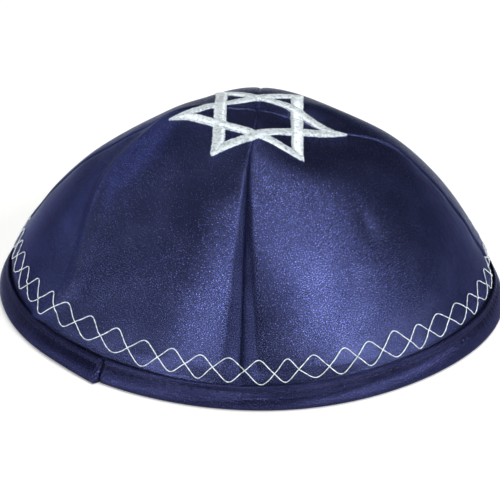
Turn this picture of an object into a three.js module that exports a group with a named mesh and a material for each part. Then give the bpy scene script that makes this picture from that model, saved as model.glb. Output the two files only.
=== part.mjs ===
// A four-panel satin skullcap with a bound rim and an embroidered six-pointed star on top.
// Millimetres, +Z up. The cap rests on its rim at z = 0, round the Z axis, with its front seam at -Y.
// Azimuths are degrees from the front seam towards +X, and a level runs from 0 at the rim to 1 at the top.
import * as THREE from "three";
import { TessellateModifier } from "three/addons/modifiers/TessellateModifier.js";
import { mergeVertices } from "three/addons/utils/BufferGeometryUtils.js";

// Driving dimensions
const CAP_HEIGHT = 63.5;
const MERIDIAN_LENGTH = 105; // cloth from the rim up to the top
const WALL_POWER = 0.895; // how soon the wall leans in above the rim
const CROWN_POWER = 1.596; // how gently the crown rounds over
const CLOTH = 1.2; // satin with its backing
const GAP = 0.3; // clearance between pieces that are sewn to each other
const TIP_RADIUS = 0.8; // the panels' tips stop this far from the Z axis
const PANEL_FOOT = 2.9; // height of the panels' lower edges, inside the binding

// The seams and the panels' middles, in turn from the front seam. The rim is the radius where the cap
// rests, and the last four columns are how far the cloth stands out of an even dome at LEVELS.
const LEVELS = { low: 0.3, middle: 0.52, high: 0.7, top: 0.85 };
const SECTIONS = [
  { at: "front seam", azimuth: 0, rim: 85.3, low: -0.2, middle: 0.7, high: 1.5, top: 0.2 },
  { at: "front right panel", azimuth: 45, rim: 82.8, low: -0.4, middle: 0.8, high: 1.6, top: -1.8 },
  { at: "right seam", azimuth: 90, rim: 85.5, low: -1.0, middle: 0.2, high: 1.4, top: -2.8 },
  { at: "back right panel", azimuth: 135, rim: 85.8, low: 1.6, middle: 0.4, high: -0.5, top: 0.2 },
  { at: "back seam", azimuth: 180, rim: 84.8, low: 0.0, middle: 0.5, high: 1.9, top: 1.1 },
  { at: "back left panel", azimuth: 225, rim: 83.8, low: 0.0, middle: -2.2, high: -1.7, top: 0.3 },
  { at: "left seam", azimuth: 270, rim: 85.0, low: -0.3, middle: -0.2, high: -1.0, top: 1.5 },
  { at: "front left panel", azimuth: 315, rim: 84.8, low: -0.2, middle: 0.5, high: 1.4, top: 0.0 },
];

// Each seam pulls the cloth in by its dip, over its reach to either side, and sways sideways midway up.
const SEAMS = [
  { at: "front", azimuth: 0, dip: 1.8, reach: 5.5, sway: -1.5 },
  { at: "right", azimuth: 90, dip: 0.7, reach: 3, sway: 0 },
  { at: "back", azimuth: 180, dip: 0.9, reach: 4, sway: 0 },
  { at: "left", azimuth: 265, dip: 0.9, reach: 4, sway: 0 },
];
const SEAM_FADE = 4; // the higher, the nearer to the top the dips run out

// Small dents in the panels: depth at the middle, and radius
const DENTS = [
  { at: "front right", azimuth: 44, level: 0.58, depth: 0.8, radius: 5 },
  { at: "front left", azimuth: 312, level: 0.42, depth: 1.0, radius: 14 },
];

const BINDING_HEIGHT = 7.8;
const BINDING_CLOTH = 0.9;
const BINDING_FOOT = 0.6; // rounding of its lower corners
const BINDING_FOLD = 1.5; // cloth under the panels' lower edges
const BINDING_EASE = 0.6; // slack of the inner fold behind the panels
const FREE_HEIGHT = 14; // above this the panels are clear of the binding's pull
// Its end is sewn over its beginning, and stands off more and more, less so along the upper edge.
const LAP = { start: 312, end: 328, ramp: 0.5, extra: 1.8, upper: 0.8 };

// The star's centre, turn and size. The thread fills its small corner holes a little.
const STAR = { x: 0.4, y: -2.4, turn: 1.3, reach: 29, bar: 3.9, fill: 0.2, thickness: 0.9, lift: 0.4 };

const NAVY_SATIN = { color: 0x2d2b64, roughness: 0.42, metalness: 0 };
const BINDING_SATIN = { color: 0x2a2a5c, roughness: 0.48, metalness: 0 };
const SILVER_WHITE_THREAD = { color: 0xe6e9ea, roughness: 0.5, metalness: 0 };

// How finely the pieces are faceted
const PANEL_COLUMNS = 16;
const PANEL_ROWS = 17;
const SEAM_CROWDING = 0.7; // how much closer the columns stand near the seams
const LEVEL_STEP = 0.004; // to either side of a level, for the lean of the wall there
const BINDING_STATIONS = 72;
const STAR_FACET = 4.5;
const STAR_SPLITS = 16;
const STAR_WELD = 1e-3;
const STAR_HALVINGS = 40; // of the level under a point of the star, until it is found

const radians = THREE.MathUtils.degToRad;
const lerp = THREE.MathUtils.lerp;

// The value at x of a smooth curve through values at rising places. The curve ends level.
function through(places, values, x) {
  const last = places.length - 1;
  const i = THREE.MathUtils.clamp(places.findLastIndex((place) => place <= x), 0, last - 1);
  const slope = (k) => {
    const before = Math.max(k - 1, 0);
    return k === last ? 0 : (values[k + 1] - values[before]) / (places[k + 1] - places[before]);
  };
  const span = places[i + 1] - places[i];
  const s = (x - places[i]) / span;
  const eased = s * s * (3 - 2 * s);
  const bend = s * (1 - s) * ((1 - s) * slope(i) - s * slope(i + 1)) * span;
  return lerp(values[i], values[i + 1], eased) + bend;
}

// A section's rim, or its stand-out at a level, blended between the two nearest sections
function acrossSections(azimuth, valueOf) {
  const turn = THREE.MathUtils.euclideanModulo(azimuth, 360) / (360 / SECTIONS.length);
  const i = Math.floor(turn);
  const blend = (1 - Math.cos(Math.PI * (turn - i))) / 2;
  return lerp(valueOf(SECTIONS[i]), valueOf(SECTIONS[(i + 1) % SECTIONS.length]), blend);
}

function standOut(section, level) {
  const places = [0, ...Object.values(LEVELS), 1];
  const values = [0, ...Object.keys(LEVELS).map((name) => section[name]), 0];
  return through(places, values, level);
}

// The meridian of the cap's outside: radius and height at an azimuth and a level
function meridian(azimuth, level) {
  const c = Math.max(Math.cos((Math.PI * level) / 2), 0);
  const s = Math.max(Math.sin((Math.PI * level) / 2), 0);
  const rim = acrossSections(azimuth, (section) => section.rim);
  const out = acrossSections(azimuth, (section) => standOut(section, level));
  return new THREE.Vector2(rim * c ** WALL_POWER + out * c, CAP_HEIGHT * s ** CROWN_POWER + out * s);
}

// The same, moved inwards across the wall
function wall(azimuth, level, inset) {
  const below = meridian(azimuth, Math.max(level - LEVEL_STEP, 0));
  const above = meridian(azimuth, Math.min(level + LEVEL_STEP, 1));
  const along = above.sub(below).normalize();
  return meridian(azimuth, level).add(new THREE.Vector2(-along.y, along.x).multiplyScalar(inset));
}

function place(azimuth, { x: radius, y: height }) {
  const a = radians(azimuth);
  return new THREE.Vector3(radius * Math.sin(a), -radius * Math.cos(a), height);
}

const levelAtHeight = (z) => (2 / Math.PI) * Math.asin((z / CAP_HEIGHT) ** (1 / CROWN_POWER));
const levelAtRadius = (r, rim) => (2 / Math.PI) * Math.acos((r / rim) ** (1 / WALL_POWER));

// How far the cloth of a panel lies inside the even outside: at its seams, in its dents, under the binding
function pulledIn(azimuth, level, radius) {
  const arc = (other) => {
    const turn = THREE.MathUtils.euclideanModulo(azimuth - other + 180, 360) - 180;
    return radius * radians(turn);
  };
  const bound = levelAtHeight(BINDING_HEIGHT);
  const free = THREE.MathUtils.smoothstep(level, bound, levelAtHeight(FREE_HEIGHT));
  const seamFade = free * (1 - level ** SEAM_FADE);
  const seams = SEAMS.map((seam) => {
    const away = arc(seam.azimuth) / seam.reach;
    return seam.dip * seamFade * Math.exp(-(away ** 2));
  });
  const dents = DENTS.map((dent) => {
    const climb = MERIDIAN_LENGTH * (level - dent.level);
    return dent.depth * Math.exp(-(arc(dent.azimuth) ** 2 + climb ** 2) / dent.radius ** 2);
  });
  const tucked = (1 - free) * (BINDING_CLOTH + GAP);
  return [...seams, ...dents].reduce((sum, dip) => sum + dip, tucked);
}

function seamAzimuth(seam, level, radius, side) {
  const shift = seam.sway * Math.sin(Math.PI * level ** 2) + (side * GAP) / 2;
  return seam.azimuth + THREE.MathUtils.radToDeg(Math.asin(shift / radius));
}

// A closed geometry from shared points and the triangles between them
function solidFrom(points, triangles) {
  const geometry = new THREE.BufferGeometry();
  geometry.setAttribute("position", new THREE.Float32BufferAttribute(points.flatMap((p) => p.toArray()), 3));
  geometry.setIndex(triangles.flat());
  geometry.computeVertexNormals();
  return geometry;
}

// A wall between an outside and an inside grid of points, closed along its four edges
function wallSolid(columns, rows, outsideAt, insideAt) {
  const points = [];
  const sheets = [outsideAt, insideAt].map((pointAt) => {
    const first = points.length;
    for (let row = 0; row <= rows; row++) {
      for (let column = 0; column <= columns; column++) points.push(pointAt(column, row));
    }
    return (column, row) => first + row * (columns + 1) + column;
  });
  const [outside, inside] = sheets;
  const triangles = [];
  const quad = (a, b, c, d) => triangles.push([a, b, c], [a, c, d]);
  for (let row = 0; row < rows; row++) {
    for (let column = 0; column < columns; column++) {
      const corners = [[column, row], [column + 1, row], [column + 1, row + 1], [column, row + 1]];
      quad(...corners.map((corner) => outside(...corner)));
      quad(...corners.map((corner) => inside(...corner)).reverse());
    }
    quad(inside(0, row), outside(0, row), outside(0, row + 1), inside(0, row + 1));
    quad(outside(columns, row), inside(columns, row), inside(columns, row + 1), outside(columns, row + 1));
  }
  for (let column = 0; column < columns; column++) {
    quad(inside(column, 0), inside(column + 1, 0), outside(column + 1, 0), outside(column, 0));
    quad(outside(column, rows), outside(column + 1, rows), inside(column + 1, rows), inside(column, rows));
  }
  return solidFrom(points, triangles);
}

// A ring: one closed section at each station round the cap
function ringSolid(sections) {
  const size = sections[0].length;
  const index = (station, k) => (station % sections.length) * size + (k % size);
  const triangles = [];
  for (let station = 0; station < sections.length; station++) {
    for (let k = 0; k < size; k++) {
      const a = index(station, k);
      const b = index(station + 1, k);
      const c = index(station + 1, k + 1);
      const d = index(station, k + 1);
      triangles.push([a, b, c], [a, c, d]);
    }
  }
  return solidFrom(sections.flat(), triangles);
}

// One quarter of the dome between two seams, from inside the binding up to its tip
function panelGeometry(seam, nextSeam) {
  const lowest = levelAtHeight(PANEL_FOOT);
  const rim = meridian(seam.azimuth, 0).x;
  const spread = (s) => lerp(s, (1 - Math.cos(Math.PI * s)) / 2, SEAM_CROWDING);
  const pointAt = (thickness) => (column, row) => {
    const level = lerp(lowest, levelAtRadius(TIP_RADIUS, rim), row / PANEL_ROWS);
    const radius = meridian(seam.azimuth, level).x;
    const from = seamAzimuth(seam, level, radius, 1);
    const to = seamAzimuth(nextSeam, level, meridian(nextSeam.azimuth, level).x, -1);
    const next = to < from ? to + 360 : to;
    const azimuth = lerp(from, next, spread(column / PANEL_COLUMNS));
    return place(azimuth, wall(azimuth, level, pulledIn(azimuth, level, radius) + thickness));
  };
  return wallSolid(PANEL_COLUMNS, PANEL_ROWS, pointAt(0), pointAt(CLOTH));
}

// The binding folds round the panels' lower edges, so its section is a U that stands on a flat foot.
function bindingGeometry() {
  const leg = BINDING_CLOTH;
  const depth = 2 * (leg + GAP) + CLOTH + BINDING_EASE;
  const round = BINDING_FOOT;
  const sectionAt = (azimuth) => {
    const lapped = azimuth > LAP.start && azimuth <= LAP.end;
    const along = lapped ? ((azimuth - LAP.start) / (LAP.end - LAP.start)) ** 2 : 0;
    const extra = LAP.extra * along;
    const upper = LAP.upper * along;
    const u = [
      [round - extra, 0],
      [-extra, round],
      [-upper, BINDING_HEIGHT - round],
      [leg / 2 - upper, BINDING_HEIGHT],
      [leg, BINDING_HEIGHT - round],
      [leg, BINDING_FOLD],
      [depth - leg, BINDING_FOLD],
      [depth - leg, BINDING_HEIGHT - round],
      [depth - leg / 2, BINDING_HEIGHT],
      [depth, BINDING_HEIGHT - round],
      [depth, round],
      [depth - round, 0],
    ];
    return u.map(([inset, z]) => {
      const radius = meridian(azimuth, levelAtHeight(z)).x - inset;
      return place(azimuth, new THREE.Vector2(radius, z));
    });
  };
  const even = Array.from({ length: BINDING_STATIONS }, (_, k) => (360 * k) / BINDING_STATIONS);
  const around = [...even, LAP.end, LAP.end + LAP.ramp].sort((a, b) => a - b);
  return ringSolid(around.map(sectionAt));
}

// The flat outline of the star: two triangles of even bars, laid over each other
function starShape() {
  const bars = Array.from({ length: 6 }, (_, k) => radians(STAR.turn + 60 * k));
  const outer = STAR.reach / 2;
  const inner = outer - STAR.bar;
  const crossing = (i, di, j, dj) => {
    const [a, b] = [bars[i % 6], bars[j % 6]];
    const det = Math.sin(b - a);
    const x = (di * Math.sin(b) - dj * Math.sin(a)) / det;
    const y = (dj * Math.cos(a) - di * Math.cos(b)) / det;
    return new THREE.Vector2(STAR.x + x, STAR.y + y);
  };
  const outline = bars.flatMap((_, k) => [
    crossing(k, outer, k + 1, outer),
    crossing(k, outer, k + 2, outer),
  ]);
  const shape = new THREE.Shape(outline);
  const middle = bars.map((_, k) => crossing(k, inner, k + 1, inner));
  const side = inner - STAR.fill;
  const base = outer + STAR.fill;
  const corners = bars.map((_, k) => [
    crossing(k, side, k + 2, side),
    crossing(k, side, k + 1, base),
    crossing(k + 2, side, k + 1, base),
  ]);
  shape.holes = [middle, ...corners].map((hole) => new THREE.Path(hole));
  return shape;
}

// The star laid on the crown: its flat outline in small facets, lifted onto the cloth at each point
function starGeometry() {
  const facets = new TessellateModifier(STAR_FACET, STAR_SPLITS).modify(new THREE.ShapeGeometry(starShape()));
  facets.deleteAttribute("normal");
  facets.deleteAttribute("uv");
  const flat = mergeVertices(facets, STAR_WELD);
  const count = flat.attributes.position.count;
  const drape = (x, y, lift) => {
    const azimuth = THREE.MathUtils.radToDeg(Math.atan2(x, -y));
    const radius = Math.hypot(x, y);
    let [low, high] = [0, 1];
    for (let k = 0; k < STAR_HALVINGS; k++) {
      const level = (low + high) / 2;
      if (meridian(azimuth, level).x > radius) low = level;
      else high = level;
    }
    return place(azimuth, wall(azimuth, low, -lift));
  };
  const flatPoints = Array.from({ length: count }, (_, k) =>
    new THREE.Vector2().fromBufferAttribute(flat.attributes.position, k));
  const under = flatPoints.map((p) => drape(p.x, p.y, STAR.lift));
  const over = flatPoints.map((p) => drape(p.x, p.y, STAR.lift + STAR.thickness));
  const triangles = [];
  const borders = new Map();
  for (let k = 0; k < flat.index.count; k += 3) {
    const corners = [0, 1, 2].map((n) => flat.index.getX(k + n));
    triangles.push(corners.map((corner) => corner + count), [...corners].reverse());
    corners.forEach((a, n) => {
      const b = corners[(n + 1) % 3];
      if (!borders.delete(`${b} ${a}`)) borders.set(`${a} ${b}`, [a, b]);
    });
  }
  for (const [a, b] of borders.values()) triangles.push([a, b, b + count], [a, b + count, a + count]);
  return solidFrom([...under, ...over], triangles);
}

const cap = new THREE.Group();

function addPiece(name, geometry, finish) {
  const mesh = new THREE.Mesh(geometry, new THREE.MeshStandardMaterial(finish));
  mesh.name = name;
  cap.add(mesh);
}

["panel_front_right", "panel_back_right", "panel_back_left", "panel_front_left"].forEach((name, k) => {
  addPiece(name, panelGeometry(SEAMS[k], SEAMS[(k + 1) % SEAMS.length]), NAVY_SATIN);
});
addPiece("rim_binding", bindingGeometry(), BINDING_SATIN);
addPiece("star_embroidery", starGeometry(), SILVER_WHITE_THREAD);

export default cap;
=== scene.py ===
import math

import bpy
import numpy as np
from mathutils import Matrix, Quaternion, Vector


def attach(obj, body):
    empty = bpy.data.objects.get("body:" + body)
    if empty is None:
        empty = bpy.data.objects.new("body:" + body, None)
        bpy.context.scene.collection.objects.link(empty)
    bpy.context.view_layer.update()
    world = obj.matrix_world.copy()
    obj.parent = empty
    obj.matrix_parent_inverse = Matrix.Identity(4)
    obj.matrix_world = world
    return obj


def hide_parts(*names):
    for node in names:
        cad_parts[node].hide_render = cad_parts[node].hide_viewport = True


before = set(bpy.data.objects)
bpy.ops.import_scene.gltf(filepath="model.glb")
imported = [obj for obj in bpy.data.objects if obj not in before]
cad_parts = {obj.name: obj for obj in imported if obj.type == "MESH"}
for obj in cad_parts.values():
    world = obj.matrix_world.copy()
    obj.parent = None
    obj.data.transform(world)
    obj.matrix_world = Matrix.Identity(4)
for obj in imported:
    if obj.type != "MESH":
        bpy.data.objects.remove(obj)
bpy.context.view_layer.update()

# The four panels: quarters of a dome, cut from navy satin on a thin backing and sewn together at the
# seams, which pull the cloth in. They meet at the top, and the binding tucks their lower edges in.
# Sizes of the cap are in millimetres and its angles in degrees, unless a comment says otherwise.
MM = 0.001
CAP_HEIGHT = 63.5
CAP_RADIUS = 85
CLOTH = 1.2
PANEL_FOOT = 2.9
PANEL_TIP = 0.3
PANEL_COLUMNS = 150
PANEL_ROWS = 130
SMOOTH_ANGLE = math.radians(50)
# Height of the binding, how far it tucks the panels in, and the height where the cloth is free of it
BINDING_HEIGHT = 7.8
BINDING_TUCK = 1.2
FREE_HEIGHT = 12.0

# The dome's side: how straight the wall rises and how flat the crown is. Levels run up the cloth, from 0
# at the rim to 1 at the top.
WALL_POWER = 0.895
CROWN_POWER = 1.596
LEVEL_STEP = 0.004
SECTION_LEVELS = np.array([0, 0.3, 0.52, 0.7, 0.85, 1])
# Rim radius, then how far the cloth stands out of an even dome at the four levels between rim and top
SECTIONS = {
    "front seam": (85.3, -0.2, 0.7, 1.5, 0.2),
    "front right panel": (82.8, -0.4, 0.8, 1.6, -1.8),
    "right seam": (85.5, -1.0, 0.2, 1.4, -2.8),
    "back right panel": (85.8, 1.6, 0.4, -0.5, 0.2),
    "back seam": (84.8, 0.0, 0.5, 1.9, 1.1),
    "back left panel": (83.8, 0.0, -2.2, -1.7, 0.3),
    "left seam": (85.0, -0.3, -0.2, -1.0, 1.5),
    "front left panel": (84.8, -0.2, 0.5, 1.4, 0.0),
}
# Azimuth from the front towards +X, how steeply the seam pulls the cloth in, how far to either side it
# does so at the rim, and how far the seam sways
SEAMS = {
    "front": (0, 0.6, 6.5, -1.5),
    "right": (90, 0.9, 3.2, 0),
    "back": (180, 0.22, 5.0, 0),
    "left": (265, 0.22, 5.0, 0),
}
# The valley along a seam: the level where it ends, and how much its edges are rounded off
SEAM_TOP = 0.86
SEAM_SOFTNESS = 0.25
# The crease in the sewn line itself
SEAM_CREASE = 0.36
SEAM_CREASE_WIDTH = 0.8
# The puckers along a seam, and how unevenly they follow each other
PUCKER = 0.13
PUCKER_LENGTH = 8.5
PUCKER_REACH = 6.0
PUCKER_WANDER = 3
PUCKER_WANDER_LENGTH = 11
# The strip pressed flat beside a seam, which the satin makes rougher and paints darker as painted shade
# along the seam: how far it reaches for each millimetre of the valley, and at least
PRESSED_REACH = 1.3
PRESSED_LEAST = 0.2
# Folds and dents: azimuth, height, depth, half width round the cap, half length up it, and how they bend
FOLDS = {
    "dimple": (41, 44.0, 0.4, 3.2, 3.6, 0),
    "front left hollow": (-37, 26.0, 0.8, 12.0, 20.0, 0),
    "front left ridge": (-49, 23.0, -1.0, 3.4, 36.0, -0.033),
    "front right hollow": (62, 45.0, 0.8, 12.0, 14.0, 0),
    "back right hollow": (128, 30.0, 0.9, 13.0, 18.0, 0.01),
    "swell below the star": (26, 61.0, -0.6, 8.0, 5.0, 0),
    "back left ridge": (222, 28.0, -0.6, 5.0, 24.0, 0.012),
}


def through(places, values, x):
    """A smooth curve through the values, level at its last place."""
    slopes = np.zeros(len(places))
    slopes[0] = (values[1] - values[0]) / (places[1] - places[0])
    slopes[1:-1] = (values[2:] - values[:-2]) / (places[2:] - places[:-2])
    i = np.clip(np.searchsorted(places, x, side="right") - 1, 0, len(places) - 2)
    span = places[i + 1] - places[i]
    s = (x - places[i]) / span
    bend = s * (1 - s) * ((1 - s) * slopes[i] - s * slopes[i + 1]) * span
    return values[i] + (values[i + 1] - values[i]) * s * s * (3 - 2 * s) + bend


def neighbours(azimuth, count):
    """The sections on either side of an azimuth, and the share of the second one."""
    turn = np.mod(azimuth, 360) / (360 / count)
    first = np.floor(turn).astype(int)
    share = (1 - np.cos(np.pi * (turn - first))) / 2
    return first % count, (first + 1) % count, share


def by_section(azimuth, values):
    """A value that is set at each section, blended round the cap."""
    before, after, share = neighbours(azimuth, len(values))
    return values[before] * (1 - share) + values[after] * share


def meridian(azimuth, level):
    """Radius and height of the dome, before the seams and folds pull the cloth in."""
    stand_outs = np.array([
        through(SECTION_LEVELS, np.array([0, *row[1:], 0]), level)
        for row in SECTIONS.values()
    ])
    before, after, share = neighbours(azimuth, len(SECTIONS))
    out_before = np.take_along_axis(stand_outs, before[None], 0)[0]
    out_after = np.take_along_axis(stand_outs, after[None], 0)[0]
    out = out_before * (1 - share) + out_after * share
    rim = by_section(azimuth, np.array([row[0] for row in SECTIONS.values()]))
    inward = np.maximum(np.cos(np.pi * level / 2), 0)
    upward = np.maximum(np.sin(np.pi * level / 2), 0)
    radius = rim * inward ** WALL_POWER + out * inward
    height = CAP_HEIGHT * upward ** CROWN_POWER + out * upward
    return radius, height


def points(azimuth, radius, height):
    """Places in metres, from azimuths in degrees and sizes in millimetres."""
    turn = np.radians(azimuth)
    return np.stack([radius * np.sin(turn), -radius * np.cos(turn), height], 1) * MM


def on_cap(azimuth, level, inset):
    """Places on the dome, moved square into it by the inset."""
    radius, height = meridian(azimuth, level)
    radius_below, height_below = meridian(azimuth, np.maximum(level - LEVEL_STEP, 0))
    radius_above, height_above = meridian(azimuth, np.minimum(level + LEVEL_STEP, 1))
    outward = radius_above - radius_below
    upward = height_above - height_below
    length = np.hypot(outward, upward)
    return points(azimuth, radius - inset * upward / length, height + inset * outward / length)


def level_at_height(height):
    return 2 / np.pi * np.arcsin((height / CAP_HEIGHT) ** (1 / CROWN_POWER))


def smoothstep(x, low, high):
    s = np.clip((x - low) / (high - low), 0, 1)
    return s * s * (3 - 2 * s)


def turn_from(other, azimuth):
    """Degrees from another azimuth, the shorter way round the cap."""
    return np.mod(azimuth - other + 180, 360) - 180


def swayed(sway, level):
    return sway * np.sin(np.pi * level ** 2)


def from_seam(seam, azimuth, level, radius):
    """Distance from a seam round the cap, and how far its valley reaches at that level."""
    place, _, rim_reach, sway = SEAMS[seam]
    arc = radius * np.radians(turn_from(place, azimuth)) - swayed(sway, level)
    return np.abs(arc), rim_reach * np.maximum(1 - level / SEAM_TOP, 0)


def seam_azimuth(seam, level):
    place, *_, sway = SEAMS[seam]
    radius = meridian(np.full_like(level, place), level)[0]
    return place + np.degrees(np.arcsin(np.clip(swayed(sway, level) / radius, -1, 1)))


def pulled_in(azimuth, level, radius, height):
    """How far the binding, the seams and the folds pull the cloth into the dome."""
    free = smoothstep(height, BINDING_HEIGHT, FREE_HEIGHT)
    inset = BINDING_TUCK * (1 - free)
    wander = PUCKER_WANDER * np.sin(height / PUCKER_WANDER_LENGTH)
    for seam, (place, slope, *_) in SEAMS.items():
        arc, reach = from_seam(seam, azimuth, level, radius)
        inset += slope * free * (np.hypot(reach - arc, SEAM_SOFTNESS) + reach - arc) / 2
        inset += SEAM_CREASE * np.exp(-arc / SEAM_CREASE_WIDTH)
        ripple = np.sin(2 * np.pi * height / PUCKER_LENGTH + wander + place)
        inset += PUCKER * free * ripple * np.exp(-(arc / PUCKER_REACH) ** 2)
    for place, rise, depth, width, length, bend in FOLDS.values():
        arc = radius * np.radians(turn_from(place + bend * (height - rise) ** 2, azimuth))
        inset += depth * np.exp(-(arc / width) ** 2 - ((height - rise) / length) ** 2)
    return inset


# Length of cloth from the top of the cap down to each level, which sets the flat shape of a panel
CUT_STEPS = 400
CUT_AZIMUTH = 45.0
CUT_TOP = 0.999
CUT_LEVELS = np.linspace(0, CUT_TOP, CUT_STEPS)
cut_radius, cut_height = meridian(np.full(CUT_STEPS, CUT_AZIMUTH), CUT_LEVELS)
cut_lengths = np.hypot(np.diff(cut_radius), np.diff(cut_height))
CUT_REACH = np.append(np.cumsum(cut_lengths[::-1])[::-1], 0) + cut_radius[-1]


def flat_cloth(name, columns, rows):
    """A flat grid, and how far across and up it each of its points is, from 0 to 1."""
    bpy.ops.object.select_all(action="DESELECT")
    bpy.ops.mesh.primitive_grid_add(x_subdivisions=columns, y_subdivisions=rows, size=2)
    piece = bpy.context.object
    piece.name = piece.data.name = name
    places = np.zeros(3 * len(piece.data.vertices))
    piece.data.vertices.foreach_get("co", places)
    across, up = (places.reshape(-1, 3)[:, :2].T + 1) / 2
    return piece, across, up


def lay(piece, places, cut):
    """Moves the points of flat cloth to their places, and keeps where they are in the cut as its UV map."""
    piece.data.vertices.foreach_set("co", places.ravel())
    corners = np.zeros(len(piece.data.loops), int)
    piece.data.loops.foreach_get("vertex_index", corners)
    piece.data.uv_layers.active.data.foreach_set("uv", cut[corners].ravel())


def thicken(piece, thickness):
    """Gives cloth its thickness on the inside."""
    wall = piece.modifiers.new("thickness", "SOLIDIFY")
    wall.thickness = thickness * MM
    wall.offset = -1
    bpy.ops.object.modifier_apply(modifier=wall.name)
    bpy.ops.object.shade_smooth_by_angle(angle=SMOOTH_ANGLE)


def panel(name, seam, next_seam, grain):
    piece, across, up = flat_cloth(name, PANEL_COLUMNS, PANEL_ROWS)
    foot = level_at_height(PANEL_FOOT)
    tip = 2 / np.pi * np.arccos((PANEL_TIP / CAP_RADIUS) ** (1 / WALL_POWER))
    level = foot + up * (tip - foot)
    start = seam_azimuth(seam, level)
    azimuth = start + np.mod(seam_azimuth(next_seam, level) - start, 360) * across
    radius, height = meridian(azimuth, level)
    # A mask of the strip pressed flat beside the seams: the satin makes it rougher and paints shade on it
    pressed = np.zeros_like(level)
    for edge in (seam, next_seam):
        arc, valley = from_seam(edge, azimuth, level, radius)
        pressed += np.exp(-((arc + PRESSED_LEAST) / (PRESSED_REACH * valley + PRESSED_LEAST)) ** 4)
    piece.data.attributes.new("pressed", "FLOAT", "POINT").data.foreach_set("value", pressed)
    middle = SEAMS[seam][0] + np.mod(SEAMS[next_seam][0] - SEAMS[seam][0], 360) / 2
    reach = np.interp(level, CUT_LEVELS, CUT_REACH)
    spread = np.radians(azimuth - middle) * radius / reach + math.radians(grain)
    cut = np.stack([reach * np.sin(spread), -reach * np.cos(spread)], 1) * MM
    lay(piece, on_cap(azimuth, level, pulled_in(azimuth, level, radius, height)), cut)
    thicken(piece, CLOTH)
    return piece


class Wire:
    """A shader socket. Arithmetic on it adds Math nodes, and node() adds any other node."""

    def __init__(self, tree, socket=None):
        self.tree = tree
        self.socket = socket

    def node(self, kind, settings, inputs, output=0):
        new = self.tree.nodes.new(kind)
        for name, value in settings.items():
            if name == "stops":
                elements = new.color_ramp.elements
                while len(elements) < len(value):
                    elements.new(1)
                for element, (place, tone) in zip(elements, value):
                    element.position = place
                    element.color = (*tone, 1)
            else:
                setattr(new, name, value)
        for name, value in inputs.items():
            if isinstance(value, Wire):
                self.tree.links.new(value.socket, new.inputs[name])
            else:
                new.inputs[name].default_value = value
        return Wire(self.tree, new.outputs[output])

    def maths(self, operation, first, second):
        return self.node("ShaderNodeMath", {"operation": operation}, {0: first, 1: second})

    def __add__(self, other):
        return self.maths("ADD", self, other)

    def __sub__(self, other):
        return self.maths("SUBTRACT", self, other)

    def __rsub__(self, other):
        return self.maths("SUBTRACT", other, self)

    def __mul__(self, other):
        return self.maths("MULTIPLY", self, other)

    __radd__ = __add__
    __rmul__ = __mul__


def new_finish(name):
    material = bpy.data.materials.new(name)
    material.use_nodes = True
    return material, Wire(material.node_tree)


def finish_with(wires, **sockets):
    """Sets the sockets of a finish, each to a value or to a wire."""
    shader = wires.tree.nodes["Principled BSDF"]
    for name, value in sockets.items():
        socket = shader.inputs[name.replace("_", " ")]
        if isinstance(value, Wire):
            wires.tree.links.new(value.socket, socket)
        else:
            socket.default_value = value


# The floats of the weave lie across each panel as it was cut, so the gloss spreads along the panel. Counts
# are for each metre of cloth, and reliefs are in millimetres.
FLOATS = (3000, 14000, 1)
FLOAT_RELIEF = 0.06
SPECKS = 3000
SPECK_RELIEF = 0.035
CLOUDS = 90.0
# How much the specks, the clouds and the painted shade on the pressed strip change the tone, and the tone's
# start
SPECK_TONE = 1.2
CLOUD_TONE = 0.2
PRESSED_SHADE = 0.07
TONE_START = 0.2
# Roughness of the satin, and what the specks and the pressed strip add to it
SATIN_ROUGH = 0.16
SPECK_ROUGH = 0.16
PRESSED_ROUGH = 0.1
# Gloss of the satin, its tint at a grazing view, and the faint fuzz of its fibres
SATIN_GLOSS = 0.82
GRAZING_NAVY = (0.14, 0.2, 0.4, 1)
SATIN_SHEEN = 0.02
SATIN_SHEEN_ROUGH = 0.4
SATIN_SHEEN_TINT = (0.5, 0.56, 0.9, 1)


def satin(name, turn, navy):
    material, wires = new_finish(name)
    cloth = wires.node("ShaderNodeTexCoord", {}, {}, "UV")
    turned = wires.node("ShaderNodeMapping", {}, {"Vector": cloth, "Rotation": (0, 0, turn)})
    stretched = wires.node("ShaderNodeMapping", {}, {"Vector": turned, "Scale": FLOATS})
    floats = wires.node("ShaderNodeTexNoise", {}, {"Vector": stretched, "Scale": 1.0, "Detail": 0.0})
    specks = wires.node("ShaderNodeTexNoise", {}, {"Vector": turned, "Scale": SPECKS, "Detail": 1.0})
    clouds = wires.node("ShaderNodeTexNoise", {}, {"Vector": cloth, "Scale": CLOUDS, "Detail": 3.0})
    pressed = wires.node("ShaderNodeAttribute", {"attribute_name": "pressed"}, {}, "Fac")
    # The tone is darker on the pressed strip beside each seam: painted shade along the seam's valley
    tone = SPECK_TONE * specks + CLOUD_TONE * clouds - TONE_START - PRESSED_SHADE * pressed
    colour = wires.node("ShaderNodeValToRGB", {"stops": navy}, {"Fac": tone})
    relief = FLOAT_RELIEF * floats + SPECK_RELIEF * specks
    bump = wires.node("ShaderNodeBump", {}, {"Height": relief, "Strength": 1.0, "Distance": MM})
    finish_with(
        wires,
        Base_Color=colour,
        Roughness=SATIN_ROUGH + SPECK_ROUGH * specks + PRESSED_ROUGH * pressed,
        Normal=bump,
        Metallic=SATIN_GLOSS,
        Specular_Tint=GRAZING_NAVY,
        Sheen_Weight=SATIN_SHEEN,
        Sheen_Roughness=SATIN_SHEEN_ROUGH,
        Sheen_Tint=SATIN_SHEEN_TINT,
    )
    return material


PANEL_NAVY = [(0.3, (0.010, 0.013, 0.044)), (0.55, (0.041, 0.049, 0.136)), (0.8, (0.15, 0.17, 0.39))]
navy_satin = satin("navy_satin", 0, PANEL_NAVY)
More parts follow.
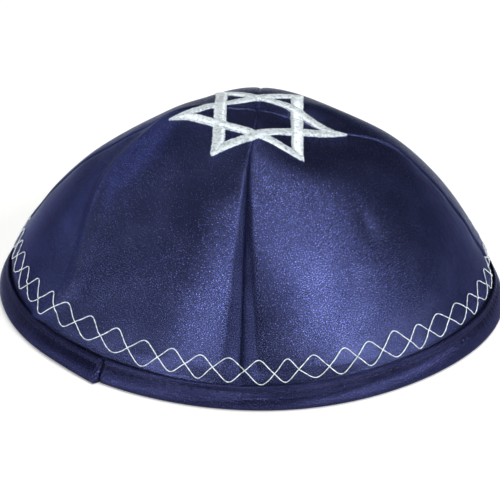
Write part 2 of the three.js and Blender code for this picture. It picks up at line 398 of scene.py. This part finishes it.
# Seams at either side, how far the grain was turned as the panel was cut, and its flat width in metres
PANELS = {
    "front_right": ("front", "right", -8, 0.125),
    "back_right": ("right", "back", 3, 0.124),
    "back_left": ("back", "left", -2, 0.118),
    "front_left": ("left", "front", -2, 0.130),
}
for side, (seam, next_seam, grain, panel_width) in PANELS.items():
    quarter = panel("satin_panel_" + side, seam, next_seam, grain)
    quarter.data.materials.append(navy_satin)
    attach(quarter, "root")
    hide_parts("panel_" + side)

# The binding: a bias strip of the same satin, folded over the panels' lower edges all round and stitched
# through near its upper edge. Its end laps over its beginning on the front left.
STRIP_CLOTH = 0.8
STRIP_STATIONS = 1080
STRIP_BIAS = math.radians(45)
# In metres: the strip's flat width and length, and the gap within which its two ends join into a ring
STRIP_WIDTH = 0.02
STRIP_LENGTH = 0.53
STRIP_JOIN = 1e-6
# The lap: azimuths where the strip's end starts to stand off and where it stops, how far it stands off
# along the rim and along its upper edge, and the step and the groove where it stops
LAP_START, LAP_END = 312, 327.9
LAP_RIM, LAP_EDGE = 2.0, 0.9
LAP_STEP = 0.22
LAP_GROOVE = 0.4
# Outside of the fold: inset from the cap's outside, and height
STRIP_FOLD = np.array([
    (0.75, 7.55), (0.55, 7.80), (0.25, 7.75), (0.10, 7.45), (0.15, 7.00), (0.34, 6.50), (0.48, 6.10),
    (0.34, 5.70), (0.10, 5.10), (-0.08, 4.20), (-0.14, 3.00), (-0.08, 1.80), (0.08, 0.90), (0.35, 0.35),
    (0.70, 0.08), (1.10, 0.0), (2.00, 0.0), (3.00, 0.0), (3.50, 0.12), (3.90, 0.55), (4.10, 1.30),
    (4.15, 2.60), (4.15, 4.00), (4.15, 5.40), (4.10, 6.80), (3.95, 7.50), (3.60, 7.80), (3.30, 7.60),
])
# Insets that bound the fold's front face and its outer half
FACE_INSET = 1
OUTER_INSET = 2.5
# The stitched groove: its height in the fold above, its real height at each section in turn from the
# front, and the heights between which the front face comes to follow it
GROOVE_HEIGHT = 6.1
STITCH_LINE = np.array([5.4, 6.5, 6.4, 6.2, 6.0, 6.1, 6.2, 5.9])
GROOVE_EASE = (3.5, 6.0)
# Swellings between the stitches, and the heights between which they begin
STITCH_COUNT = 184
QUILTING = 0.05
QUILTING_EASE = (3.5, 5.5)
# Soft ripples along the strip, and the heights between which they begin
RIPPLE = 0.07
RIPPLE_LONG = 9.0
RIPPLE_SHORT = 5.3
RIPPLE_LEAD = 2
RIPPLE_EASE = (0.3, 2.0)
# The binding's navy: the panels' navy painted about half as bright, as painted shade for the bias strip
# catching less light than the panels
BINDING_SHADED_NAVY = [(0.3, (0.006, 0.007, 0.025)), (0.55, (0.020, 0.022, 0.068)), (0.8, (0.07, 0.075, 0.2))]


def lap_rise(azimuth, height):
    """How far the lapped end stands off the rest of the strip."""
    along = np.clip((azimuth - LAP_START) / (LAP_END - LAP_START), 0, 1) ** 2
    rise = LAP_RIM + (LAP_EDGE - LAP_RIM) * height / BINDING_HEIGHT
    groove = LAP_GROOVE * np.exp(-((azimuth - LAP_END - 2 * LAP_STEP) / LAP_STEP) ** 2)
    return rise * along * (1 - smoothstep(azimuth, LAP_END, LAP_END + LAP_STEP)) - groove


def strip_outside(azimuth, inset, height):
    """Places on the outside of the folded strip."""
    on_face = np.where(inset < FACE_INSET, 1, 0)
    groove_shift = by_section(azimuth, STITCH_LINE) - GROOVE_HEIGHT
    height = height + on_face * smoothstep(height, *GROOVE_EASE) * groove_shift
    radius = meridian(azimuth, level_at_height(height))[0]
    quilting = QUILTING * np.cos(np.radians(azimuth * STITCH_COUNT)) * smoothstep(height, *QUILTING_EASE)
    arc = radius * np.radians(azimuth)
    waver = np.sin(arc / RIPPLE_LONG) + np.sin(arc / RIPPLE_SHORT + RIPPLE_LEAD)
    ripple = RIPPLE * waver * smoothstep(height, *RIPPLE_EASE)
    stand_off = np.where(inset < OUTER_INSET, lap_rise(azimuth, height) + quilting, 0)
    return points(azimuth, radius - inset + ripple + stand_off, height)


binding, strip_along, strip_across = flat_cloth("satin_binding", STRIP_STATIONS, len(STRIP_FOLD) - 1)
fold = STRIP_FOLD[::-1][np.rint(strip_across * (len(STRIP_FOLD) - 1)).astype(int)]
strip_places = strip_outside(360 * strip_along, fold[:, 0], fold[:, 1])
lay(binding, strip_places, np.stack([strip_along * STRIP_LENGTH, strip_across * STRIP_WIDTH], 1))
bpy.ops.object.mode_set(mode="EDIT")
bpy.ops.mesh.select_all(action="SELECT")
bpy.ops.mesh.remove_doubles(threshold=STRIP_JOIN)
bpy.ops.object.mode_set(mode="OBJECT")
thicken(binding, STRIP_CLOTH)
# The binding's satin takes the darker navy, with painted shade in its colour
binding.data.materials.append(satin("binding_satin", STRIP_BIAS, BINDING_SHADED_NAVY))
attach(binding, "root")
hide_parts("rim_binding")

# The binding's stitches: navy thread, sewn through all the layers of the binding and pulled tight, so that
# it lies sunk in a groove. Each stitch dives into the cloth at both its ends.
STITCH_THREAD = 0.2
STITCH_SIDES = 6
STITCH_STEPS = 6
STITCH_GAP = 0.3
STITCH_DEPTH = 0.42
STITCH_DIVE = 0.5
THREAD_TWIST = 3000.0
THREAD_NAVY = [(0.3, (0.004, 0.004, 0.012)), (0.7, (0.016, 0.017, 0.045))]
THREAD_NAVY_ROUGH = 0.6
THREAD_NAVY_SHINE = 0.3
# A point well under the cap: the upper side of every thread faces away from it
UNDER_CAP = np.array([0, 0, -0.05])


def thread_mesh(name, paths, radii, sides):
    """Round threads: paths is threads x steps x 3, radii the same without the last axis."""
    count, steps, _ = paths.shape
    along = np.gradient(paths, axis=1)
    along /= np.linalg.norm(along, axis=2, keepdims=True)
    side = np.cross(along, paths - UNDER_CAP)
    side /= np.linalg.norm(side, axis=2, keepdims=True)
    up = np.cross(side, along)
    turn = np.linspace(0, 2 * np.pi, sides, endpoint=False)
    ring = side[:, :, None] * np.cos(turn)[:, None] + up[:, :, None] * np.sin(turn)[:, None]
    surface = paths[:, :, None] + ring * radii[:, :, None, None]
    index = np.arange(count * steps * sides).reshape(count, steps, sides)
    beside = np.roll(index, -1, 2)
    quads = np.stack([index[:, :-1], beside[:, :-1], beside[:, 1:], index[:, 1:]], 3).reshape(-1, 4)
    ends = [*index[:, 0, ::-1], *index[:, -1]]
    mesh = bpy.data.meshes.new(name)
    mesh.from_pydata(surface.reshape(-1, 3).tolist(), [], quads.tolist() + [end.tolist() for end in ends])
    piece = bpy.data.objects.new(name, mesh)
    bpy.context.scene.collection.objects.link(piece)
    mesh.shade_smooth()
    return piece


stitch_turn = 360 / STITCH_COUNT
stitch_along = np.linspace(STITCH_GAP / 2, 1 - STITCH_GAP / 2, STITCH_STEPS)
stitch_azimuth = (stitch_turn * np.arange(STITCH_COUNT)[:, None] + stitch_turn * stitch_along).ravel()
stitch_height = by_section(stitch_azimuth, STITCH_LINE)
groove_radius = meridian(stitch_azimuth, level_at_height(stitch_height))[0] - STITCH_DEPTH
dive = STITCH_DIVE * np.tile(((2 * stitch_along - 1) / (1 - STITCH_GAP)) ** 4, STITCH_COUNT)
stitch_radius = groove_radius + lap_rise(stitch_azimuth, stitch_height) - dive
stitch_paths = points(stitch_azimuth, stitch_radius, stitch_height).reshape(STITCH_COUNT, STITCH_STEPS, 3)
stitch_radii = np.full(stitch_paths.shape[:2], STITCH_THREAD * MM)
stitching = thread_mesh("binding_stitches", stitch_paths, stitch_radii, STITCH_SIDES)
navy_thread, wires = new_finish("navy_thread")
place = wires.node("ShaderNodeTexCoord", {}, {}, "Object")
twist = wires.node("ShaderNodeTexNoise", {}, {"Vector": place, "Scale": THREAD_TWIST, "Detail": 1.0})
finish_with(
    wires,
    Base_Color=wires.node("ShaderNodeValToRGB", {"stops": THREAD_NAVY}, {"Fac": twist}),
    Roughness=THREAD_NAVY_ROUGH,
    Specular_IOR_Level=THREAD_NAVY_SHINE,
)
stitching.data.materials.append(navy_thread)
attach(stitching, "root")

# The star: six bars of satin stitch in silver-white thread, close stitches laid slantwise across each bar.
# The bars pass over and under each other round the top, and the stitches' ends sink into the satin.
STAR_CENTRE = np.array([0.4, -2.4])
STAR_TURN = 1.3
STAR_TIPS = 6
STAR_REACH = 29.0
STAR_BAR = 3.9
STAR_THREAD = 0.24
STAR_SIDES = 6
STAR_STEP = 0.42
STAR_STEPS = 7
STAR_SLANT = 0.8
STAR_LIFT = 0.42
STAR_LIFT_SPREAD = 0.03
STAR_SINK = 0.35
STAR_RAGGED = 0.34
BAR_TAPER = math.tan(math.radians(30))
BAR_END = 0.5
# How far a bar rises or dips where it crosses another, and how far along it does so
WEAVE = 0.3
WEAVE_REACH = 2.6
# How far the star follows the cloth's dents, and how often the search for its level is halved
STAR_FOLLOWS = 0.5
STAR_HALVINGS = 30
DICE_SEED = 7
# Patches and strands to the metre, their shares of the tone, and what the strands take off the roughness
SILVER_PATCHES = 900.0
SILVER_STRANDS = 2600.0
PATCH_TONE = 0.7
STRAND_TONE = 0.35
STRAND_GLOSS = 0.2
SILVER_WHITE = [(0.37, (0.37, 0.43, 0.47)), (0.55, (0.86, 0.93, 0.96))]
SILVER_ROUGH = 0.5
SILVER_GLOSS = 0.4
SILVER_SHEEN = 0.2
SILVER_SHEEN_ROUGH = 0.5


def drape(x, y, lift):
    """Places on the crown straight above flat ones, lifted off the cloth."""
    azimuth = np.degrees(np.arctan2(x, -y))
    radius = np.hypot(x, y)
    low, high = np.zeros_like(radius), np.ones_like(radius)
    for halving in range(STAR_HALVINGS):
        level = (low + high) / 2
        inside = meridian(azimuth, level)[0] > radius
        low, high = np.where(inside, level, low), np.where(inside, high, level)
    height = meridian(azimuth, low)[1]
    return on_cap(azimuth, low, STAR_FOLLOWS * pulled_in(azimuth, low, radius, height) - lift)


dice = np.random.RandomState(DICE_SEED)
tips = [
    STAR_CENTRE + STAR_REACH * np.array([math.cos(turn), math.sin(turn)])
    for turn in np.radians(STAR_TURN + 360 / STAR_TIPS * np.arange(STAR_TIPS))
]
bar_share = np.linspace(0, 1, STAR_STEPS)
arch = 1 - (2 * bar_share - 1) ** 6
crossing_place = (STAR_REACH / 2 - STAR_BAR / 2) * BAR_TAPER
star_stitches = []
star_lifts = []
for tip, next_tip in zip(tips, tips[2:] + tips[:2]):
    bar_length = np.linalg.norm(next_tip - tip)
    ahead = (next_tip - tip) / bar_length
    inward = np.array([-ahead[1], ahead[0]])
    for reached in np.arange(BAR_END, bar_length - BAR_END, STAR_STEP):
        bar_width = min(STAR_BAR, reached * BAR_TAPER, (bar_length - reached) * BAR_TAPER)
        near = -dice.uniform(0, STAR_RAGGED)
        far = bar_width + dice.uniform(0, STAR_RAGGED)
        from_middle = reached - bar_length / 2
        over = math.exp(-((from_middle + crossing_place) / WEAVE_REACH) ** 2)
        under = math.exp(-((from_middle - crossing_place) / WEAVE_REACH) ** 2)
        spread = dice.uniform(-STAR_LIFT_SPREAD, STAR_LIFT_SPREAD)
        lift = STAR_LIFT + WEAVE * (over - under) + spread
        star_stitches.append(
            tip
            + ahead * (reached + STAR_SLANT * (bar_share - 0.5))[:, None]
            + inward * (near + (far - near) * bar_share)[:, None]
        )
        star_lifts.append(lift * arch - STAR_SINK * (1 - arch))
star_x, star_y = np.array(star_stitches).reshape(-1, 2).T
star_paths = drape(star_x, star_y, np.ravel(star_lifts)).reshape(-1, STAR_STEPS, 3)
star = thread_mesh("star_stitches", star_paths, np.full(star_paths.shape[:2], STAR_THREAD * MM), STAR_SIDES)
silver_thread, wires = new_finish("silver_white_thread")
place = wires.node("ShaderNodeTexCoord", {}, {}, "Object")
patches = wires.node("ShaderNodeTexNoise", {}, {"Vector": place, "Scale": SILVER_PATCHES, "Detail": 3.0})
strands = wires.node("ShaderNodeTexNoise", {}, {"Vector": place, "Scale": SILVER_STRANDS, "Detail": 1.0})
silver_tone = PATCH_TONE * patches + STRAND_TONE * strands
finish_with(
    wires,
    Base_Color=wires.node("ShaderNodeValToRGB", {"stops": SILVER_WHITE}, {"Fac": silver_tone}),
    Roughness=SILVER_ROUGH - STRAND_GLOSS * strands,
    Metallic=SILVER_GLOSS,
    Sheen_Weight=SILVER_SHEEN,
    Sheen_Roughness=SILVER_SHEEN_ROUGH,
)
star.data.materials.append(silver_thread)
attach(star, "root")
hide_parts("star_embroidery")

# The wave threads: two of the same silver-white threads, sewn to the cloth above the binding at short
# steps. They run in waves that cross each other in a chain of diamonds, one always over the other.
WAVES = 25
WAVE_HEIGHT = 3.1
WAVE_THREAD = 0.17
WAVE_SIDES = 8
WAVE_STEPS = 2600
# Height of the waves' middle line at each section, in turn from the front, and the cap's radius there
WAVE_LINE = np.array([11.2, 13.2, 12.7, 12.7, 12.5, 13.5, 14.6, 13.9])
WAVE_RADIUS = 80
# Azimuths, and by how much of a crossing the waves there run ahead of an even spacing
WAVE_LEAD = np.array([(-80, 0.0), (-50, 0.08), (-20, -0.25), (20, 0.37), (50, 0.33), (85, 0.22), (180, 0.0)])
WAVE_LAG = 0.09
# How uneven the waves are in their spacing, height and middle line, and how much more pointed than a sine
WAVE_JITTER = 0.13
WAVE_SWELL = 0.16
WAVE_DRIFT = 0.35
WAVE_POINTED = 0.08
# Rise off the cloth, the step from one stitch to the next, what the thread rises between them, and how far
# it is pinched at each
WAVE_RISE = 0.16
WAVE_STITCH = 2.2
WAVE_STITCH_RISE = 0.08
WAVE_PINCH = 0.22
# Rise of the upper thread where it crosses the lower one, and how soon it starts
CROSSING_RISE = 0.28
CROSSING_REACH = 0.12

wave_azimuth = np.linspace(0, 360, WAVE_STEPS)
wave_middle = by_section(wave_azimuth, WAVE_LINE)
wave_arc = np.gradient(np.radians(wave_azimuth)) * WAVE_RADIUS
crossing = 2 * WAVES * wave_azimuth / 360 + np.interp(turn_from(0, wave_azimuth), *WAVE_LEAD.T)
marks = np.arange(-1, 2 * WAVES + 2)
for side, name in ((1, "wave_thread_a"), (-1, "wave_thread_b")):
    uneven = dice.uniform(-1, 1, (3, len(marks)))
    # The last marks repeat the first ones, so that the ring closes
    uneven[:, -3:] = uneven[:, :3]
    jitter, swell, drift = [np.interp(crossing, marks, row) for row in uneven]
    phase = np.pi * (crossing + WAVE_JITTER * jitter - WAVE_LAG)
    wave = np.sin(phase) - WAVE_POINTED * np.sin(3 * phase)
    swing = side * WAVE_HEIGHT * (1 + WAVE_SWELL * swell) * wave
    wave_height = wave_middle + swing + WAVE_DRIFT * drift
    wave_level = level_at_height(wave_height)
    wave_radius = meridian(wave_azimuth, wave_level)[0]
    sewn = np.cumsum(np.hypot(np.gradient(wave_height), wave_arc)) / WAVE_STITCH
    beat = np.abs(np.sin(np.pi * sewn))
    crossing_rise = np.where(side > 0, CROSSING_RISE * np.exp(-(wave / CROSSING_REACH) ** 2), 0)
    rise = WAVE_RISE + WAVE_STITCH_RISE * beat + crossing_rise
    pulled = pulled_in(wave_azimuth, wave_level, wave_radius, wave_height)
    path = on_cap(wave_azimuth, wave_level, pulled - rise)
    path_radius = WAVE_THREAD * (1 - WAVE_PINCH + WAVE_PINCH * beat) * MM
    thread = thread_mesh(name, path[None], path_radius[None], WAVE_SIDES)
    thread.data.materials.append(silver_thread)
    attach(thread, "root")

# The stage: a plain pale floor that glows a little, so that it stays white under the cap, and softboxes all
# round that lay the bright and dark bands on the satin. Its sizes are in metres.
FLOOR_SIZE = 8
FLOOR_DROP = 0.0002
FLOOR_WHITE = (0.93, 0.93, 0.915, 1)
FLOOR_ROUGH = 0.8
FLOOR_SHINE = 0.1
FLOOR_GLOW = (1, 1, 0.985, 1)
FLOOR_GLOW_STRENGTH = 0.26
SOFTBOX = 0.28
SOFTBOX_DISTANCE = 1.2
SOFTBOX_AIM = Vector((0, 0, 0.03))
# Azimuth and rise of each softbox as seen from the cap, and its power
SOFTBOXES = {
    "top front": (25, 72, 3.3),
    "top back": (128, 72, 4.0),
    "front": (0, 56, 1.2),
    "back left": (-120, 56, 0.9),
    "right": (53, 40, 4.0),
    "left": (-108, 24, 0.7),
    "low back left": (-144, 24, 1.5),
    "low right": (65, 8, 5.6),
    "low front left": (-33, 8, 4.5),
    "low left": (-65, 8, 1.8),
}
ROOM_WHITE = (0.95, 0.97, 1, 1)
ROOM_LIGHT = 0.04


def direction(azimuth, rise):
    """From the cap towards an azimuth and a rise in degrees."""
    turn = math.radians(azimuth)
    tilt = math.radians(rise)
    return Vector((math.sin(turn) * math.cos(tilt), -math.cos(turn) * math.cos(tilt), math.sin(tilt)))


bpy.ops.object.select_all(action="DESELECT")
bpy.ops.mesh.primitive_plane_add(size=FLOOR_SIZE, location=(0, 0, -FLOOR_DROP))
floor = bpy.context.object
floor.name = "floor"
pale_floor, wires = new_finish("pale_floor")
finish_with(
    wires,
    Base_Color=FLOOR_WHITE,
    Roughness=FLOOR_ROUGH,
    Specular_IOR_Level=FLOOR_SHINE,
    Emission_Color=FLOOR_GLOW,
    Emission_Strength=FLOOR_GLOW_STRENGTH,
)
floor.data.materials.append(pale_floor)

for name, (azimuth, rise, power) in SOFTBOXES.items():
    spot = SOFTBOX_DISTANCE * direction(azimuth, rise)
    facing = (SOFTBOX_AIM - spot).to_track_quat("-Z", "Y").to_euler()
    bpy.ops.object.light_add(type="AREA", location=spot, rotation=facing)
    bpy.context.object.visible_camera = False
    lamp = bpy.context.object.data
    lamp.name = name
    lamp.size = SOFTBOX
    lamp.energy = power

world = bpy.data.worlds.new("studio")
world.use_nodes = True
world.node_tree.nodes["Background"].inputs["Color"].default_value = ROOM_WHITE
world.node_tree.nodes["Background"].inputs["Strength"].default_value = ROOM_LIGHT
bpy.context.scene.world = world
bpy.context.scene.view_settings.view_transform = "Standard"

# The view: a long lens from a little above, nearly square to the front seam, with the camera tipped
# slightly to one side. Its distance and aim are in metres.
VIEW_DISTANCE = 0.712
VIEW_TURN = 1.28
VIEW_RISE = 26.66
VIEW_TIP = math.radians(2.07)
VIEW_AIM = Vector((-0.0009, 0, 0.0132))
VIEW_LENS = 151.3

eye = VIEW_DISTANCE * direction(VIEW_TURN, VIEW_RISE)
look = (VIEW_AIM - eye).to_track_quat("-Z", "Y") @ Quaternion((0, 0, 1), VIEW_TIP)
bpy.ops.object.camera_add(location=eye, rotation=look.to_euler())
camera = bpy.context.object
camera.data.lens = VIEW_LENS
bpy.context.scene.camera = camera
